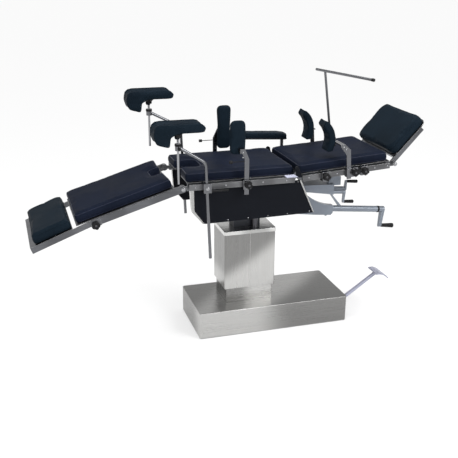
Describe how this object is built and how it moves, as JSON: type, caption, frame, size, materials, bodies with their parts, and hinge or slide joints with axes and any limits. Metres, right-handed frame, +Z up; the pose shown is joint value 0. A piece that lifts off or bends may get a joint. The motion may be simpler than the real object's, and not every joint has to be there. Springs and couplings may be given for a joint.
{
  "type": "hydraulic operating table",
  "caption": "Operating table on a stainless pedestal with a foot pump, jointed padded top, crank drives, leg crutches, arm, side and shoulder supports.",
  "frame": {"origin": "on the floor under the middle of the column", "axes": "+X along the table to the head end, +Y to the far side, +Z up"},
  "size_m": [2.1368, 0.704, 1.371],
  "materials": {
    "stainless": "brushed and polished stainless sheet",
    "rail_steel": "brushed stainless bar",
    "casting": "silver-grey enamel on a casting",
    "frame_paint": "grey enamel",
    "iron": "dark machined cast iron",
    "chrome": "ground and chromed rod",
    "dark_cover": "near-black painted sheet",
    "seat_vinyl": "dark navy vinyl, lightly creased",
    "pad_vinyl": "dark teal-navy vinyl",
    "foot_rubber": "moulded black rubber",
    "knob_plastic": "moulded black plastic"
  },
  "bodies": {
    "base": {"base_cover": "stainless", "base_chassis": "iron", "levelling_feet": "foot_rubber", "column_sleeve": "stainless", "cylinder_block": "iron", "pump_unit": "frame_paint"},
    "pedal": {"pump_pedal": "casting"},
    "column_head": {"lift_ram": "chrome", "guide_rods": "chrome", "column_head_plate": "frame_paint", "foot_side_cover": "stainless", "head_side_cover": "stainless", "column_cap": "stainless", "turret": "casting", "side_jack_barrel": "frame_paint"},
    "side_jack": {"side_jack_rod": "chrome"},
    "cradle": {"tilt_cradle": "casting", "cradle_pins": "chrome", "table_tilt_sector": "iron"},
    "seat": {"seat_frame": "frame_paint", "seat_rails": "rail_steel", "seat_pad": "seat_vinyl", "side_skirts": "dark_cover", "lower_arm": "casting", "upper_arm": "casting", "shaft_tubes": "rail_steel", "seat_rail_clamps": "casting"},
    "big_crank": {"table_tilt_crank": "frame_paint"},
    "near_crank": {"back_crank": "frame_paint"},
    "far_crank": {"side_tilt_crank": "frame_paint"},
    "back": {"back_frame": "frame_paint", "back_rails": "rail_steel", "back_pad": "seat_vinyl", "back_rail_clamps": "casting", "armboard_bracket": "casting"},
    "clamp_knob": {"back_knob": "knob_plastic"},
    "head": {"head_frame": "frame_paint", "head_pad": "pad_vinyl"},
    "near_shoulder": {"near_shoulder_bar": "rail_steel", "near_shoulder_pad": "pad_vinyl"},
    "far_shoulder": {"far_shoulder_bar": "rail_steel", "far_shoulder_pad": "pad_vinyl"},
    "armboard": {"armboard_pad": "pad_vinyl"},
    "screen": {"screen": "rail_steel"},
    "leg": {"leg_frame": "frame_paint", "leg_pad": "seat_vinyl"},
    "near_slide_knob": {"near_foot_knob": "knob_plastic"},
    "far_slide_knob": {"far_foot_knob": "knob_plastic"},
    "foot": {"foot_frame": "frame_paint", "foot_pad": "pad_vinyl"},
    "near_side_support": {"near_side_bar": "rail_steel", "near_side_pad": "pad_vinyl"},
    "far_side_support": {"far_side_bar": "rail_steel", "far_side_pad": "pad_vinyl"},
    "near_rod": {"near_crutch_rod": "rail_steel"},
    "near_post": {"near_crutch_post": "rail_steel"},
    "near_saddle": {"near_crutch_saddle": "pad_vinyl"},
    "far_rod": {"far_crutch_rod": "rail_steel"},
    "far_post": {"far_crutch_post": "rail_steel"},
    "far_saddle": {"far_crutch_saddle": "pad_vinyl"}
  },
  "joints": [
    {"name": "lift", "type": "slide", "parent": "base", "child": "column_head", "axis": [0, 0, 1], "range_m": [-0.085, 0.115]},
    {"name": "side_tilt", "type": "hinge", "parent": "column_head", "child": "cradle", "pos_m": [0, 0, 0.7], "axis": [1, 0, 0], "range_deg": [-15, 15]},
    {"name": "side_jack", "type": "slide", "parent": "column_head", "child": "side_jack", "axis": [0, 0, 1], "range_m": [-0.018, 0.018]},
    {"name": "table_tilt", "type": "hinge", "parent": "cradle", "child": "seat", "pos_m": [0, 0, 0.826], "axis": [0, -1, 0], "range_deg": [-20, 20]},
    {"name": "pedal_press", "type": "hinge", "parent": "base", "child": "pedal", "pos_m": [0.5, -0.09, 0.062], "axis": [0, 1, 0], "range_deg": [0, 14], "stiffness_Nm_per_rad": 20, "springref_deg": -29.79},
    {"name": "back_lift", "type": "hinge", "parent": "seat", "child": "back", "pos_m": [0.212, 0, 0.937], "axis": [0, -1, 0], "range_deg": [-14, 71]},
    {"name": "head_fold", "type": "hinge", "parent": "back", "child": "head", "pos_m": [0.78146, 0, 0.92169], "axis": [0, 1, 0], "range_deg": [-2, 133]},
    {"name": "leg_fold", "type": "hinge", "parent": "seat", "child": "leg", "pos_m": [-0.402, 0, 0.874], "axis": [0, 1, 0], "range_deg": [-73, 17]},
    {"name": "foot_slide", "type": "slide", "parent": "leg", "child": "foot", "axis": [-0.9563, 0, -0.2924], "range_m": [0, 0.12]},
    {"name": "big_crank_turn", "type": "hinge", "parent": "seat", "child": "big_crank", "pos_m": [-0.01239, -0.104, 0.70614], "axis": [0.9947, 0, -0.1028], "range_deg": [-1450, 1450]},
    {"name": "near_crank_turn", "type": "hinge", "parent": "seat", "child": "near_crank", "pos_m": [0.476, -0.104, 0.7525], "axis": [0.9972, 0, -0.075], "range_deg": [-1020, 5120]},
    {"name": "far_crank_turn", "type": "hinge", "parent": "seat", "child": "far_crank", "pos_m": [0.476, -0.02, 0.748], "axis": [0.9965, 0, -0.0837], "range_deg": [-1090, 1090]},
    {"name": "clamp_knob_turn", "type": "hinge", "parent": "back", "child": "clamp_knob", "pos_m": [0.36355, -0.264, 0.89146], "axis": [0, -1, 0], "range_deg": [0, 540]},
    {"name": "near_slide_knob_turn", "type": "hinge", "parent": "leg", "child": "near_slide_knob", "pos_m": [-0.84854, -0.234, 0.72702], "axis": [0, -1, 0], "range_deg": [0, 540]},
    {"name": "far_slide_knob_turn", "type": "hinge", "parent": "leg", "child": "far_slide_knob", "pos_m": [-0.84854, 0.234, 0.72702], "axis": [0, 1, 0], "range_deg": [0, 540]},
    {"name": "near_rod_slide", "type": "slide", "parent": "seat", "child": "near_rod", "axis": [-0.0436, 0, 0.999], "range_m": [-0.06, 0.08]},
    {"name": "near_post_slide", "type": "slide", "parent": "near_rod", "child": "near_post", "axis": [0, 0, 1], "range_m": [-0.02, 0.04]},
    {"name": "near_saddle_turn", "type": "hinge", "parent": "near_post", "child": "near_saddle", "pos_m": [-0.432, -0.262, 1.162], "axis": [0, 0, 1], "range_deg": [-45, 45]},
    {"name": "far_rod_slide", "type": "slide", "parent": "seat", "child": "far_rod", "axis": [-0.0436, 0, 0.999], "range_m": [-0.06, 0.08]},
    {"name": "far_post_slide", "type": "slide", "parent": "far_rod", "child": "far_post", "axis": [0, 0, 1], "range_m": [-0.02, 0.04]},
    {"name": "far_saddle_turn", "type": "hinge", "parent": "far_post", "child": "far_saddle", "pos_m": [-0.47, 0.262, 1.238], "axis": [0, 0, 1], "range_deg": [-45, 45]},
    {"name": "near_side_slide", "type": "slide", "parent": "seat", "child": "near_side_support", "axis": [0, 0, 1], "range_m": [-0.05, 0.06]},
    {"name": "far_side_slide", "type": "slide", "parent": "seat", "child": "far_side_support", "axis": [0, 0, 1], "range_m": [0, 0.08]},
    {"name": "near_shoulder_slide", "type": "slide", "parent": "back", "child": "near_shoulder", "axis": [-0.0698, 0, 0.9976], "range_m": [-0.02, 0.04]},
    {"name": "far_shoulder_slide", "type": "slide", "parent": "back", "child": "far_shoulder", "axis": [-0.0698, 0, 0.9976], "range_m": [-0.02, 0.04]},
    {"name": "armboard_swing", "type": "hinge", "parent": "back", "child": "armboard", "pos_m": [0.33394, 0.332, 0.91345], "axis": [0, 0, -1], "range_deg": [0, 110]},
    {"name": "screen_turn", "type": "hinge", "parent": "back", "child": "screen", "pos_m": [0.62291, 0.262, 0.9096], "axis": [-0.134, 0, 0.991], "range_deg": [-85, 85]}
  ],
  "couplings": [
    {"joint": "side_jack", "follows": "side_tilt", "m_per_rad": -0.0652},
    {"joint": "big_crank_turn", "follows": "table_tilt", "ratio": 72},
    {"joint": "near_crank_turn", "follows": "back_lift", "ratio": 72},
    {"joint": "far_crank_turn", "follows": "side_tilt", "ratio": 72}
  ]
}
